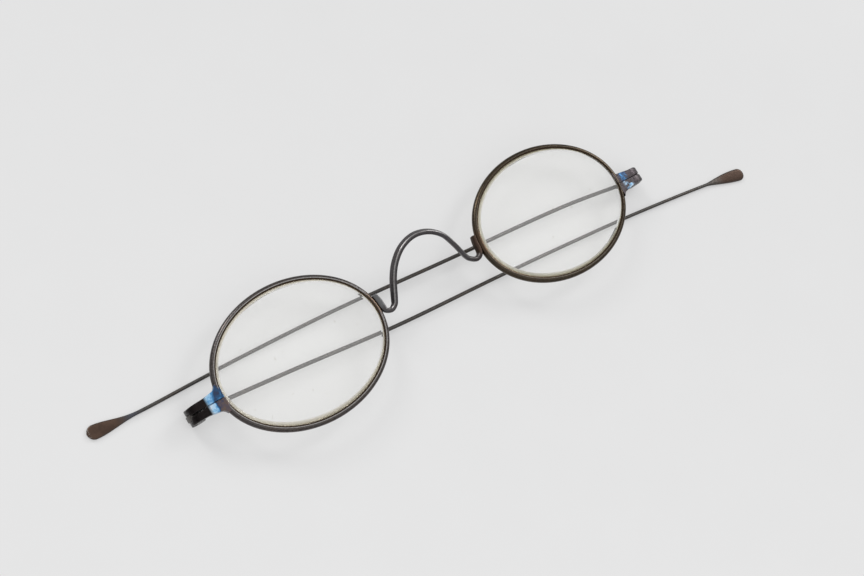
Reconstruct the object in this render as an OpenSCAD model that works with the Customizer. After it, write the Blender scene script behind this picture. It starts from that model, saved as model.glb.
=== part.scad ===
// Folding spectacles with two oval lenses, a saddle bridge of flattened wire
// and two thin straight temples that end in flat paddles.
// They lie face up on their folded temples: +X to the viewer's right, +Y to the brow,
// +Z out of the front. Right and left are the wearer's, so the right side is at -X.
// The origin is on the resting plane, below the middle of the bridge.

/* [Front] */
// Distance between the lens centres
eye_spacing = 64; // [62:0.5:68]
// Width of an eye rim, outside
rim_w = 37.9; // [36:0.1:39.5]
// Height of an eye rim, outside
rim_h = 29.2; // [28:0.1:31]
// Thickness of the rim wire as seen from the front
rim_t = 1.1; // [1.05:0.05:1.35]
// Depth of the rim wire, front to back
rim_d = 1.5; // [1.4:0.05:1.8]
// Depth of the groove that holds the lens
groove_d = 0.45; // [0.3:0.05:0.5]
// Height of the lens plane above the resting plane
front_z = 4.2; // [3.9:0.1:5]

/* [Lenses] */
// Thickness of a lens at its centre
lens_t = 2.4; // [2.2:0.1:2.8]
// Radius of both curved faces of a lens
lens_r = 330; // [300:10:600]
// Angle of the ground bevel, measured from the lens plane
bevel_a = 40; // [36:1:44]
// Clearance between a lens and its groove
lens_gap = 0.03; // [0.02:0.01:0.06]

/* [Bridge] */
// Width of the bridge arch at its centre line
arch_w = 16.4; // [14:0.2:18]
// Height of the arch crest above the lens centres
arch_h = 9.0; // [7:0.1:11]
// Forward reach of the arch crest from the lens plane
arch_fwd = 4.1; // [2:0.1:6]
// Sideways offset of the arch from the middle, bent by use
arch_off = -0.4; // [-0.6:0.1:0.6]
// How much flatter than an ellipse the arch's right shoulder is, bent by use
right_flat = 0.04; // [0:0.01:0.08]
// Lean of the flattened wire, front edge towards the nose, so that it sits like a saddle
saddle_lean = 16; // [0:2:24]
// Thickness of the bridge wire
bridge_t = 1.05; // [0.9:0.05:1.3]
// Width of the flattened bridge wire in the arch, front to back
bridge_w = 1.8; // [1.4:0.05:2.2]
// Radius of the turn at the bottom of each hook
hook_r = 1.4; // [1.2:0.05:1.6]
// Lowest point of the wire's right hook, from the lens centres
hook_y = -1.4; // [-2:0.1:-1]
// How much higher the left hook turns
left_lift = 0.5; // [0:0.1:0.8]
// Tip of the foot on the right rim, above the lens centres
right_foot_top = 2.9; // [2:0.1:4]
// Tip of the foot on the left rim, above the lens centres
left_foot_top = 3.6; // [2:0.1:4.2]
// Thickness of the foot beside the rim
foot_t = 1.1; // [0.9:0.05:1.3]
// Width of the foot, front to back
foot_w = 1.4; // [1.2:0.05:1.5]

/* [End pieces] */
// Reach of an end piece from the rim to its outermost face
end_reach = 6.2; // [5.9:0.1:7.5]
// Height of an end piece beside the rim
end_h = 4.3; // [4:0.1:5]
// Height of an end piece at its knuckles
knuckle_h = 3.4; // [3.2:0.1:3.9]
// Fillet between an end piece and the rim
end_fillet = 1.0; // [0.6:0.1:1.4]
// Thickness of the end-piece strip
end_t = 1.25; // [1.1:0.05:1.4]
// Outer radius of the bend in an end piece
bend_r = 2.8; // [2.5:0.1:3.1]
// Radius of a knuckle around its screw
knuckle_r = 1.45; // [1.35:0.05:1.5]
// Saw cut between the upper and lower halves
split_gap = 0.12; // [0.08:0.02:0.2]
// Drop of the right end piece below the lens centre
right_drop = 0.35; // [0:0.05:2.5]
// Drop of the left end piece below the lens centre
left_drop = 1.95; // [0:0.05:2.5]

/* [Hinges] */
// Diameter of a hinge screw
screw_d = 1.0; // [0.8:0.05:1.1]
// Diameter of a hinge screw's sunk head
head_d = 1.7; // [1.5:0.05:1.9]
// Height of a hinge screw's head
head_t = 0.4; // [0.3:0.05:0.45]
// Depth of the head's top below the end piece's upper face
head_sink = 0.05; // [0.02:0.01:0.1]
// Width of the slit in the head
slit_w = 0.25; // [0.2:0.05:0.35]
// Depth of the slit in the head
slit_d = 0.2; // [0.15:0.05:0.25]
// Radial clearance of the screw in the lower half's thread
thread_gap = 0.015; // [0.01:0.005:0.03]
// Radial clearance of the temple on its screw
pin_gap = 0.04; // [0.02:0.01:0.08]
// Thickness of the temple's tongue in its slot
tongue_t = 1.2; // [1:0.05:1.3]
// Height of the tongue's arm behind the knuckle
arm_h = 0.9; // [0.8:0.05:1.1]
// Length of the arm behind the knuckle
arm_len = 1.4; // [1.2:0.1:2]
// Drop of the heel that stops the open temple
heel_h = 1.2; // [1:0.05:1.3]
// Length of the cone between the arm and the wire
shoulder_len = 2.6; // [2:0.1:4]
// Clearance on each side of the tongue
slot_gap = 0.05; // [0.03:0.01:0.1]

/* [Temples] */
// Length of the right temple from its screw to its tip
right_len = 139.6; // [125:0.1:142]
// Length of the left temple from its screw to its tip
left_len = 130.5; // [125:0.1:142]
// Diameter of the temple wire at the hinge
wire_d = 0.85; // [0.7:0.05:1]
// Diameter of the temple wire before the paddle
wire_end_d = 0.7; // [0.6:0.05:0.8]
// Length of the paddle at the end of a temple
paddle_len = 10.5; // [8:0.5:14]
// Width of the paddle
paddle_w = 2.85; // [2.2:0.05:4]
// Thickness of the paddle
paddle_t = 0.8; // [0.75:0.05:1.2]
// Sideways bend of the right temple where its paddle starts
right_bow = -11.1; // [-13:0.1:-9]
// Sideways bend of the left temple where its paddle starts
left_bow = 7.5; // [6:0.1:9]
// Further rise of the right paddle's tip
right_tip_rise = -1.95; // [-2.5:0.05:0]
// Further rise of the left paddle's tip
left_tip_rise = 0.85; // [0:0.05:1.5]

/* [Hidden] */
$fn = 64;

// Half spacing of the lenses and half sizes of the rim's outer oval
eye_x = eye_spacing / 2;
rim_a = rim_w / 2;
rim_b = rim_h / 2;
// The rim section is a round wire cut flat on its inner side
wire_r = rim_d / 2;
// Outermost face, screw place and strip levels of an end piece
end_x = eye_x + rim_a + end_reach;
pin_x = end_x - knuckle_r;
pin_z = knuckle_r;
strip_top = front_z + wire_r - 0.05;
bend_x = end_x - bend_r;
bend_z = strip_top - bend_r;
slot_w = tongue_t + 2 * slot_gap;
// Height of the slot's roof, which stops the tongue's heel when the temple is open
stop_gap = 0.05;
roof_z = pin_z + knuckle_r;
heel_r = knuckle_r - stop_gap;
// How far the bridge feet reach into the rims' outline, where they are brazed on
braze = 0.12;
// Sides of the bridge wire's section
ring_sides = 12;
// Sides of the rim wire where it meets an end piece, chords of its round outside, steps
// round a rim, sides of a lens and radius of the lens's flat core
wire_sides = 16;
rim_arcs = 10;
rim_steps = 90;
lens_sides = 64;
core_r = 7;
// Depth of the bevel's tip below the rim's outline
bevel_in = rim_t - groove_d + lens_gap;
// How far a temple's wire runs into its paddle
neck_in = 0.5;
// Step where the wire enters its cone and its paddle
shoulder = 0.03;
// Bends of each temple: distance from the screw as a share of its wire, and share of its bow
right_bends = [[0.16, 0.14], [0.35, 0.365], [0.55, 0.51], [0.70, 0.64], [0.84, 0.78], [1, 1]];
left_bends = [[0.17, 0.27], [0.40, 0.55], [0.63, 0.82], [0.85, 0.96], [1, 1]];
// Directions in which the arch and the hooks are measured, and depth of cuts that pass
// right through
arch_turns = [90, 66, 42, 18];
hook_turns = [265, 315];
through = 20;

// Oval of four tangent arcs whose centres stand on 3-4-5 triangles
oval_m = (rim_a - rim_b) / 2;
end_arc_x = 3 * oval_m;
end_arc_r = rim_a - 3 * oval_m;
flank_arc_y = -4 * oval_m;
flank_arc_r = rim_b + 4 * oval_m;
oval_turn = atan(4 / 3);

// Outline of the round rim wire, with x = 0 on its outer edge
wire_points = [for (k = [0 : wire_sides - 1]) let (a = 360 * (k + 0.5) / wire_sides)
    [wire_r * (cos(a) / cos(180 / wire_sides) - 1), wire_r * sin(a) / cos(180 / wire_sides)]];

// Solid through a list of closed rings, each with the same number of points
module ring_solid(rings) {
    m = len(rings[0]);
    last = (len(rings) - 1) * m;
    faces = concat(
        [[for (k = [m - 1 : -1 : 0]) k]],
        [for (i = [0 : len(rings) - 2], k = [0 : m - 1])
            [i * m + k, i * m + (k + 1) % m, (i + 1) * m + (k + 1) % m, (i + 1) * m + k]],
        [[for (k = [0 : m - 1]) last + k]]);
    polyhedron([for (r = rings, p = r) p], faces);
}

// Place on the oval where its outside faces direction a, moved inwards
function oval_point(a, inward) = abs(sin(a)) <= sin(oval_turn)
    ? [sign(cos(a)) * end_arc_x + (end_arc_r - inward) * cos(a), (end_arc_r - inward) * sin(a)]
    : [(flank_arc_r - inward) * cos(a), sign(sin(a)) * flank_arc_y + (flank_arc_r - inward) * sin(a)];

// Section of the rim wire: x is the distance outside the oval, y the height. Its outside is
// round, its inside is cut flat and grooved for the lens.
lip_x = min(rim_t, rim_d - 0.1);
lip_a = 180 - acos((lip_x - wire_r) / wire_r);
groove_h = groove_d * tan(bevel_a);
rim_section = concat(
    [for (k = [0 : rim_arcs]) let (a = lip_a * (2 * k / rim_arcs - 1))
        [wire_r * cos(a) - wire_r, wire_r * sin(a)]],
    [[-lip_x, groove_h], [-rim_t + groove_d, 0], [-lip_x, -groove_h]]);

// The rim runs round the oval from one side of its saw cut to the other
module rim(side, drop) {
    cut_a = asin(-drop / end_arc_r);
    gap_a = split_gap / 2 / end_arc_r * 180 / PI;
    turns = [for (k = [0 : rim_steps]) cut_a + gap_a + (360 - 2 * gap_a) * k / rim_steps];
    color("dimgray")
        to_side(side)
            translate([eye_x, 0, front_z])
                ring_solid([for (a = turns) [for (q = rim_section) concat(oval_point(a, -q[0]), [q[1]])]]);
}

// Height of a lens face above the lens plane, and the place where the face meets its bevel
function face_z(p) = sqrt(pow(lens_r, 2) - pow(p[0], 2) - pow(p[1], 2)) - lens_r + lens_t / 2;
function face_edge(a) = oval_point(a, bevel_in + face_z(oval_point(a, bevel_in + 1.5)) / tan(bevel_a));

module lens(side) {
    turns = [for (k = [0 : lens_sides - 1]) 360 * (k + 0.5) / lens_sides];
    core = [for (a = turns) [core_r * cos(a), core_r * sin(a)]];
    edge = [for (a = turns) face_edge(a)];
    color([0.85, 0.9, 0.9, 0.4])
        translate([side * eye_x, 0, front_z])
            ring_solid([
                [for (p = core) [p[0], p[1], face_z(p)]],
                [for (p = edge) [p[0], p[1], face_z(p)]],
                [for (a = turns) concat(oval_point(a, bevel_in), [0])],
                [for (p = edge) [p[0], p[1], -face_z(p)]],
                [for (p = core) [p[0], p[1], -face_z(p)]]
            ]);
}

// Side view of an end-piece strip: x is the distance from the middle, y is the height
module strip_profile() {
    inner_r = bend_r - end_t;
    translate([eye_x, strip_top - end_t])
        square([bend_x - eye_x, end_t]);
    intersection() {
        translate([bend_x, bend_z])
            difference() {
                circle(bend_r);
                circle(inner_r);
            }
        translate([bend_x, bend_z])
            square(bend_r + 1);
    }
    translate([end_x - end_t, pin_z])
        square([end_t, bend_z - pin_z]);
    translate([pin_x, pin_z])
        circle(knuckle_r);
}

// Front view of an end piece: a tapered bar with a fillet where it leaves the rim
module strip_outline(drop) {
    arc_x = eye_x + end_arc_x;
    taper_x = pin_x - knuckle_r - 0.2;
    half_h = end_h / 2;
    half_k = knuckle_h / 2;
    translate([0, -drop])
        polygon([[arc_x, -half_h], [eye_x + rim_a, -half_h], [taper_x, -half_k], [end_x + 1, -half_k],
            [end_x + 1, half_k], [taper_x, half_k], [eye_x + rim_a, half_h], [arc_x, half_h]]);
    for (s = [-1, 1]) {
        side_y = s * half_h - drop;
        fillet_y = side_y + s * end_fillet;
        fillet_x = arc_x + sqrt(pow(end_arc_r + end_fillet, 2) - pow(fillet_y, 2));
        touch_y = fillet_y * end_arc_r / (end_arc_r + end_fillet);
        difference() {
            translate([arc_x, min(touch_y, side_y - s * 0.3)])
                square([fillet_x - arc_x, abs(touch_y - side_y + s * 0.3)]);
            translate([fillet_x, fillet_y])
                circle(end_fillet);
        }
    }
}

// One end piece, mirrored to its side; half is 1 for the upper part and -1 for the lower part
module end_piece(side, drop, half) {
    color("steelblue")
        to_side(side)
            difference() {
                intersection() {
                    translate([0, through / 2, 0])
                        rotate([90, 0, 0])
                            linear_extrude(through)
                                strip_profile();
                    linear_extrude(through)
                        strip_outline(drop);
                    translate([0, half > 0 ? -drop + split_gap / 2 : -drop - split_gap / 2 - through, -1])
                        cube([end_x + 1, through, through]);
                }
                translate([eye_x + end_arc_x, 0, -1])
                    cylinder(r = end_arc_r - wire_r, h = through, $fn = 128);
                translate([eye_x + end_arc_x, 0, front_z])
                    rotate_extrude($fn = 128)
                        translate([end_arc_r, 0])
                            polygon(wire_points);
                translate([bend_x - 2, -drop - slot_w / 2, -1])
                    cube([bend_r + 3, slot_w, roof_z + 1]);
                translate([pin_x, -drop, pin_z])
                    rotate([90, 0, 0])
                        cylinder(
                            d = screw_d + 2 * (half > 0 ? pin_gap : thread_gap),
                            h = through, center = true);
                translate([pin_x, -drop + knuckle_h / 2 - head_t - head_sink, pin_z])
                    rotate([-90, 0, 0])
                        cylinder(d = head_d + 2 * pin_gap, h = 5);
            }
}

// Mirrors a piece drawn on the +X side to the given side
module to_side(side) {
    mirror([side < 0 ? 1 : 0, 0, 0])
        children();
}

module hinge_screw(side, drop) {
    shank = knuckle_h - head_t - head_sink;
    color("gray")
        to_side(side)
            translate([pin_x, -drop - knuckle_h / 2, pin_z])
                rotate([-90, 0, 0])
                    difference() {
                        union() {
                            cylinder(d = screw_d, h = shank);
                            translate([0, 0, shank])
                                cylinder(d = head_d, h = head_t);
                        }
                        translate([-head_d, -slit_w / 2, shank + head_t - slit_d])
                            cube([2 * head_d, slit_w, slit_d + 1]);
                    }
}

// Smooth curve through a list of points, by cubic pieces
function cubic(a, b, c, d, t) = 0.5 * ((2 * b) + (c - a) * t + (2 * a - 5 * b + 4 * c - d) * t * t
    + (3 * b - a - 3 * c + d) * t * t * t);
function smooth(pts, steps) = [
    for (i = [0 : len(pts) - 2], k = [0 : steps - 1])
        cubic(pts[max(i - 1, 0)], pts[i], pts[i + 1], pts[min(i + 2, len(pts) - 1)], k / steps),
    pts[len(pts) - 1]
];
function unit(v) = v / norm(v);
function xyz(p) = [p[0], p[1], p[2]];

// Ring of section points around place i on a wire, whose path holds the place, then the
// thickness, width and lean of its section; up is the direction that its width follows
function wire_ring(path, i, up) = let (
        p = path[i],
        along = unit(xyz(path[min(i + 1, len(path) - 1)]) - xyz(path[max(i - 1, 0)])),
        inner = unit(cross(along, up)),
        front = cross(inner, along))
    [for (k = [0 : ring_sides - 1]) let (
        a = 360 * (k + 0.5) / ring_sides,
        u = p[3] / 2 * cos(a),
        v = p[4] / 2 * sin(a))
        xyz(p) + inner * (u * cos(p[5]) + v * sin(p[5])) + front * (v * cos(p[5]) - u * sin(p[5]))];

// Wire with a changing section along its path
module wire(path, up) {
    ring_solid([for (i = [0 : len(path) - 1]) wire_ring(path, i, up)]);
}

// Paddle outline along +X from its neck to its round tip
function ease(t) = t * t * (3 - 2 * t);
function paddle_half(t) = wire_end_d / 2 + shoulder
    + (paddle_w - wire_end_d - 2 * shoulder) / 2 * ease(pow(t, 1.3));
module paddle_outline(length) {
    nose = paddle_w / 2;
    run = length - nose;
    steps = 14;
    upper = [for (i = [0 : steps]) [run * i / steps, paddle_half(i / steps)]];
    tip = [for (a = [75 : -15 : -75]) [run + nose * cos(a), nose * sin(a)]];
    lower = [for (i = [steps : -1 : 0]) [run * i / steps, -paddle_half(i / steps)]];
    polygon(concat(upper, tip, lower));
}

// Side view of the tongue around its screw, with the heel that stops it when open
module tongue_profile() {
    circle(heel_r);
    translate([-heel_r, -heel_h])
        square([heel_r, heel_h]);
    translate([0, -arm_h / 2])
        square([knuckle_r + arm_len, arm_h]);
}

// Drawn along +X from its screw, then turned to the side that it folds from
module temple(side, drop, length, bends, bow, tip_rise) {
    wire_len = sqrt(pow(length, 2) - pow(bow + tip_rise, 2)) - paddle_len;
    drop_z = paddle_t / 2 - pin_z;
    places = concat([[(knuckle_r + arm_len - neck_in) / wire_len, 0]], bends);
    path = [for (b = places) let (d = wire_d + (wire_end_d - wire_d) * b[0])
        [b[0] * wire_len, b[1] * bow, b[0] * drop_z, d, d, 0]];
    in_paddle =
        [wire_len + neck_in, bow + tip_rise * neck_in / paddle_len, drop_z, wire_end_d, wire_end_d, 0];
    color("dimgray")
        translate([side * pin_x, -drop, pin_z])
            to_side(-side) {
                difference() {
                    union() {
                        translate([0, tongue_t / 2, 0])
                            rotate([90, 0, 0])
                                linear_extrude(tongue_t)
                                    tongue_profile();
                        translate([knuckle_r + 0.15, 0, 0])
                            rotate([0, 90, 0])
                                cylinder(d1 = tongue_t, d2 = wire_d + 2 * shoulder, h = shoulder_len);
                    }
                    rotate([90, 0, 0])
                        cylinder(d = screw_d + 2 * pin_gap, h = 5, center = true);
                }
                wire(concat(smooth(path, 3), [in_paddle]), [0, 0, 1]);
                translate([wire_len, bow, -pin_z])
                    rotate([0, 0, atan2(tip_rise, paddle_len)])
                        linear_extrude(paddle_t)
                            paddle_outline(paddle_len);
            }
}

// Half of the bridge wire from the crest to the tip of its foot: place from the lens plane,
// then thickness, width and lean of its section
function rim_edge(y) = eye_x - end_arc_x - sqrt(pow(end_arc_r, 2) - y * y);
function arch_z(y) = arch_fwd * (y - hook_y) / (arch_h - hook_y);
function arch_point(a, base, flat) =
    let (reach = 1 - flat * pow(sin(2 * a), 2))
    let (y = base + (arch_h - base) * sin(a) * reach)
    [arch_w / 2 * cos(a) * reach, y, arch_z(y), bridge_t, bridge_w, saddle_lean];
function foot_x(y) = rim_edge(y) - foot_t / 2 + braze;
function turn_point(a, low, thick) =
    [foot_x(0) - hook_r + hook_r * cos(a), low + hook_r + hook_r * sin(a), 0, thick, foot_w, 0];
function bridge_half(flat, low, top_y) = let (
        base = hook_y + 0.27 * (arch_h - hook_y),
        turn_x = foot_x(0) - hook_r,
        leg_y = low + 1.14 * hook_r,
        knee_y = low + 0.43 * hook_r,
        foot_y = low + hook_r,
        mid_y = (foot_y + top_y) / 2)
    [
        arch_point(arch_turns[0], base, flat),
        arch_point(arch_turns[1], base, flat),
        arch_point(arch_turns[2], base, flat),
        arch_point(arch_turns[3], base, flat),
        [turn_x - 1.44 * hook_r, leg_y, arch_z(leg_y), bridge_t, bridge_w, saddle_lean],
        [turn_x - 0.95 * hook_r, knee_y, arch_z(knee_y), bridge_t, (bridge_w + foot_w) / 2, saddle_lean / 2],
        turn_point(hook_turns[0], low, bridge_t),
        turn_point(hook_turns[1], low, (bridge_t + foot_t) / 2),
        [foot_x(foot_y), foot_y, 0, foot_t, foot_w, 0],
        [foot_x(mid_y), mid_y, 0, foot_t, foot_w, 0],
        [foot_x(top_y), top_y, 0, foot_t, foot_w, 0]
    ];

// One half with its arch moved sideways, on the right (-1) or left (1) of the nose
function bridge_side(half, side) = [for (i = [0 : len(half) - 1])
    let (share = i < 5 ? 1 : i == 5 ? 0.5 : 0)
    [share * arch_off + side * half[i][0], half[i][1], half[i][2], half[i][3], half[i][4], half[i][5]]];

module bridge() {
    right_half = bridge_side(bridge_half(right_flat, hook_y, right_foot_top), -1);
    left_half = bridge_side(bridge_half(0, hook_y + left_lift, left_foot_top), 1);
    to_crest = [for (i = [len(right_half) - 1 : -1 : 1]) right_half[i]];
    tilt = atan2(arch_fwd, arch_h - hook_y);
    color("dimgray")
        translate([0, 0, front_z])
            wire(smooth(concat(to_crest, left_half), 3), [0, -sin(tilt), cos(tilt)]);
}

rim(-1, right_drop);  // right_rim
rim(1, left_drop);  // left_rim
lens(-1);  // right_lens
lens(1);  // left_lens
bridge();
end_piece(-1, right_drop, 1);  // right_upper_end_piece
end_piece(-1, right_drop, -1);  // right_lower_end_piece
end_piece(1, left_drop, 1);  // left_upper_end_piece
end_piece(1, left_drop, -1);  // left_lower_end_piece
hinge_screw(-1, right_drop);  // right_hinge_screw
hinge_screw(1, left_drop);  // left_hinge_screw
temple(-1, right_drop, right_len, right_bends, right_bow, right_tip_rise);  // right_temple
temple(1, left_drop, left_len, left_bends, left_bow, left_tip_rise);  // left_temple
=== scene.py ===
# %% [markdown]
# Antique folding spectacles, laid face up on their folded temples.
# The object was built first as solids with real joints. They are loaded here as a frame that
# nothing may move. Every visible piece is then a surface worked out with numpy in the same
# frame, and rides on one of its bodies, so that it turns as the real piece turns. Only the
# two hinge screws keep their solids.

# %% Load the frame
import math

import bmesh
import bpy
import numpy as np
from mathutils import Matrix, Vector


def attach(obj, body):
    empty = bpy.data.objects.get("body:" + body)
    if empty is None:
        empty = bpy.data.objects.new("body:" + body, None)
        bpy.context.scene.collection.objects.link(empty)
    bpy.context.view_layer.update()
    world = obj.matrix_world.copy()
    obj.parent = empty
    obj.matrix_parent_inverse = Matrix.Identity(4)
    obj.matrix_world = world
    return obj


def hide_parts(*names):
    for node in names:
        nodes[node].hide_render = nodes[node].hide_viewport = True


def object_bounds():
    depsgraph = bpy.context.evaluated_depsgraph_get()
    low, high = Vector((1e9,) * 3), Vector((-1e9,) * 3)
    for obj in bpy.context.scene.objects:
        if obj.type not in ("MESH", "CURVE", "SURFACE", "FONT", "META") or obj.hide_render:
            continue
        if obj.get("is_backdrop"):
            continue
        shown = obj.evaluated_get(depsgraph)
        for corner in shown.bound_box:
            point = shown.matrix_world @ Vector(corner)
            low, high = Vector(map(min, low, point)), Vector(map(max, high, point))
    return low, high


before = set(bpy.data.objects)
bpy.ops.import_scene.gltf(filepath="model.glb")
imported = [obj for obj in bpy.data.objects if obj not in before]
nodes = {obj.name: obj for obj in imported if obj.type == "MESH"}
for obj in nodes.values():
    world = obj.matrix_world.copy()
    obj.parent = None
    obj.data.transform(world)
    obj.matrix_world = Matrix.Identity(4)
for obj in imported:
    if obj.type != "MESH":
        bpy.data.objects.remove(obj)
cad_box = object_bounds()

# %% [markdown]
# Sizes that several pieces share. They repeat the named values of the part's source, in
# millimetres. Meshes are worked out in millimetres too, because 1.1 is easier to read than
# 0.0011, and they turn into metres when they are made. Right and left are the wearer's, so
# the right side lies at -X and has the sign -1.

# %% Shared sizes
MM = 0.001
SIDE = {-1: "right", 1: "left"}
EYE_X, RIM_A, RIM_B = 32.0, 18.95, 14.6  # middle of an eye, half axes of its oval rim
RIM_T, RIM_D = 1.1, 1.5  # rim wire, in front view and in depth
GROOVE, BEVEL = 0.45, math.radians(40)  # depth of the lens groove, slope of its sides
FRONT_Z = 4.2  # height of the lens plane above the table
SPLIT = 0.12  # saw cut through the rim and its end piece
DROP = {-1: 0.35, 1: 1.95}  # how far the saw cut lies below the middle of the eye
print(f"one rim: {2 * RIM_A:.1f} by {2 * RIM_B:.1f} mm, eyes {2 * EYE_X:.0f} mm apart")

# %% [markdown]
# A grid of points becomes a mesh by joining each point to its neighbours. The pieces could
# also be modelled by hand with modifiers, but a formula keeps every size exact. The same few
# helpers serve all of them: one joins the grid, one closes it, and one measures the volume
# that the faces enclose, because a negative volume means that the faces point inwards.

# %% Grid helpers


def smooth_step(low, high, x):
    """0 below low, 1 above high, and the cubic 3t^2 - 2t^3 in between."""
    t = np.clip((x - low) / (high - low), 0, 1)
    return t * t * (3 - 2 * t)


def bell(x, centre, width):
    """exp(-((x - centre) / width)^2): 1 at its centre, and near 0 two widths away."""
    return np.exp(-(((x - centre) / width) ** 2))


def turns(count):
    """Equal angles once round, without the last one that would repeat the first."""
    return np.linspace(0, 2 * math.pi, count, endpoint=False)


def grid_faces(nu, nv, wrap_u, wrap_v):
    """Quads between neighbouring points of an nu by nv grid, closed along u or v if asked."""
    i = np.arange(nu if wrap_u else nu - 1)[:, None]
    j = np.arange(nv if wrap_v else nv - 1)[None, :]
    after_i, after_j = (i + 1) % nu, (j + 1) % nv
    quads = [i * nv + j, after_i * nv + j, after_i * nv + after_j, i * nv + after_j]
    return np.stack(np.broadcast_arrays(*quads), -1).reshape(-1, 4)


def enclosed(points, quads):
    """Volume inside a closed set of quads: the sum of a . (b x c) / 6 over their triangles."""
    a, b, c, d = (points[quads[:, k]] for k in range(4))
    return float(np.sum(a * np.cross(b, c)) + np.sum(a * np.cross(c, d))) / 6


def shell(points, wrap_u=False, wrap_v=True, marks=None, part=None):
    """One closed surface from a grid, with flat caps where u ends and its faces outwards.

    Marks are values per point. Part is the material's number for each column of the grid.
    """
    nu, nv = points.shape[:2]
    flat = points.reshape(-1, 3)
    quads = grid_faces(nu, nv, wrap_u, wrap_v)
    last = nu * nv - 1
    caps = [] if wrap_u else [list(range(nv)), list(range(last, last - nv, -1))]
    if enclosed(flat - flat.mean(0), quads) < 0:
        quads = quads[:, ::-1]
    else:
        caps = [cap[::-1] for cap in caps]
    rows, columns = (nu if wrap_u else nu - 1), (nv if wrap_v else nv - 1)
    cells = np.tile(np.zeros(columns, int) if part is None else part[:columns], rows)
    marks = {k: np.broadcast_to(v, (nu, nv)).ravel() for k, v in (marks or {}).items()}
    return {"points": flat, "quads": quads, "caps": caps, "marks": marks, "cells": cells}


# %% [markdown]
# A piece is one or more shells in one mesh. Points that fall together, as at the middle of a
# lens, are merged. The marks become point attributes, which the materials read to know where
# an edge is rubbed or a place was heated. The object stays at the origin, and its place is in
# its mesh, so patterns on Object coordinates stay where they are.
# Some marks also lay painted highlights and painted shade.

# %% From shells to a piece


def put_in_scene(name, data):
    """A new object with its data, at the origin and linked to the scene."""
    made = bpy.data.objects.new(name, data)
    bpy.context.scene.collection.objects.link(made)
    return made


def make_piece(name, shells, body, materials, sharp, stands_for):
    """Joins shells into one mesh in metres, which rides on a body and stands for some nodes.

    Edges that turn by more than sharp, in degrees, stay sharp.
    """
    points = np.concatenate([s["points"] for s in shells]) * MM
    faces, cells, start = [], [], 0
    for s in shells:
        faces += (s["quads"] + start).tolist() + [[k + start for k in cap] for cap in s["caps"]]
        cells += s["cells"].tolist() + [0] * len(s["caps"])
        start += len(s["points"])
    mesh = bpy.data.meshes.new(name)
    mesh.from_pydata(points.tolist(), [], faces)
    for key in sorted({k for s in shells for k in s["marks"]}):
        values = np.concatenate([s["marks"].get(key, np.zeros(len(s["points"]))) for s in shells])
        attribute = mesh.attributes.new(key, "FLOAT", "POINT")
        attribute.data.foreach_set("value", values.astype(np.float32))
    for material in materials:
        mesh.materials.append(material)
    mesh.polygons.foreach_set("material_index", np.array(cells, np.int32))
    solid = bmesh.new()
    solid.from_mesh(mesh)
    bmesh.ops.remove_doubles(solid, verts=solid.verts, dist=2e-7)
    solid.to_mesh(mesh)
    solid.free()
    mesh.shade_smooth()
    mesh.set_sharp_from_angle(angle=math.radians(sharp))
    piece = put_in_scene(name, mesh)
    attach(piece, body)
    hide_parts(*stands_for)
    print(f"{name}: {len(mesh.polygons)} faces, {max(piece.dimensions) / MM:.1f} mm long")


# %% [markdown]
# Materials are made of nodes. A few helpers keep that readable: each makes one node, feeds it
# with numbers or with what other nodes put out, and gives back its result. All patterns are
# noise on Object coordinates, so they need no pictures and look alike from every side.

# %% Node helpers


def rgb(r, g, b):
    """A colour written as it shows on a screen, from 0 to 255, turned into linear light."""
    v = np.array([r, g, b]) / 255
    linear = np.where(v <= 0.04045, v / 12.92, ((v + 0.055) / 1.055) ** 2.4)
    return (*linear.tolist(), 1.0)


def add(tree, kind, **values):
    """A node of a kind, with its properties, and with its unlinked inputs as in_ and a name."""
    made = tree.nodes.new(kind)
    for key, value in values.items():
        if key.startswith("in_"):
            made.inputs[key[3:].replace("_", " ")].default_value = value
        else:
            setattr(made, key, value)
    return made


def feed(tree, sockets, values):
    """Links each value that is an output to its socket, and sets the plain ones."""
    for socket, value in zip(sockets, values):
        if isinstance(value, bpy.types.NodeSocket):
            tree.links.new(value, socket)
        else:
            socket.default_value = value


def maths(tree, operation, a, b, clamp=False):
    """A Math node on outputs or numbers, kept between 0 and 1 if asked."""
    made = add(tree, "ShaderNodeMath", operation=operation, use_clamp=clamp)
    feed(tree, made.inputs, (a, b))
    return made.outputs[0]


def scaled(tree, value, gain, offset, clamp=False):
    """gain * value + offset."""
    return maths(tree, "ADD", maths(tree, "MULTIPLY", value, gain), offset, clamp)


def blend_colour(tree, factor, a, b, mode="MIX"):
    """A Mix node on colours, whose colour sockets are the seventh and eighth."""
    made = add(tree, "ShaderNodeMix", data_type="RGBA", blend_type=mode)
    feed(tree, (made.inputs[0], made.inputs[6], made.inputs[7]), (factor, a, b))
    return made.outputs[2]


def mix_shaders(tree, factor, a, b):
    """A Mix Shader node: a where factor is 0, and b where it is 1."""
    made = add(tree, "ShaderNodeMixShader")
    feed(tree, made.inputs, (factor, a, b))
    return made.outputs[0]


def noise(tree, scale, detail, rough):
    """Noise on Object coordinates, with scale features per metre."""
    made = add(tree, "ShaderNodeTexNoise", in_Scale=scale, in_Detail=detail, in_Roughness=rough)
    tree.links.new(add(tree, "ShaderNodeTexCoord").outputs["Object"], made.inputs["Vector"])
    return made.outputs["Fac"]


def ramp(tree, value, stops):
    """A colour ramp with stops of (place, colour)."""
    made = add(tree, "ShaderNodeValToRGB")
    elements = made.color_ramp.elements
    while len(elements) < len(stops):
        elements.new(0.5)
    for element, (place, colour) in zip(elements, stops):
        element.position = place
        element.color = colour
    tree.links.new(value, made.inputs["Fac"])
    return made.outputs["Color"]


def mark(tree, name):
    """A point attribute that the mesh carries, as a number."""
    return add(tree, "ShaderNodeAttribute", attribute_name=name).outputs["Fac"]


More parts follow.
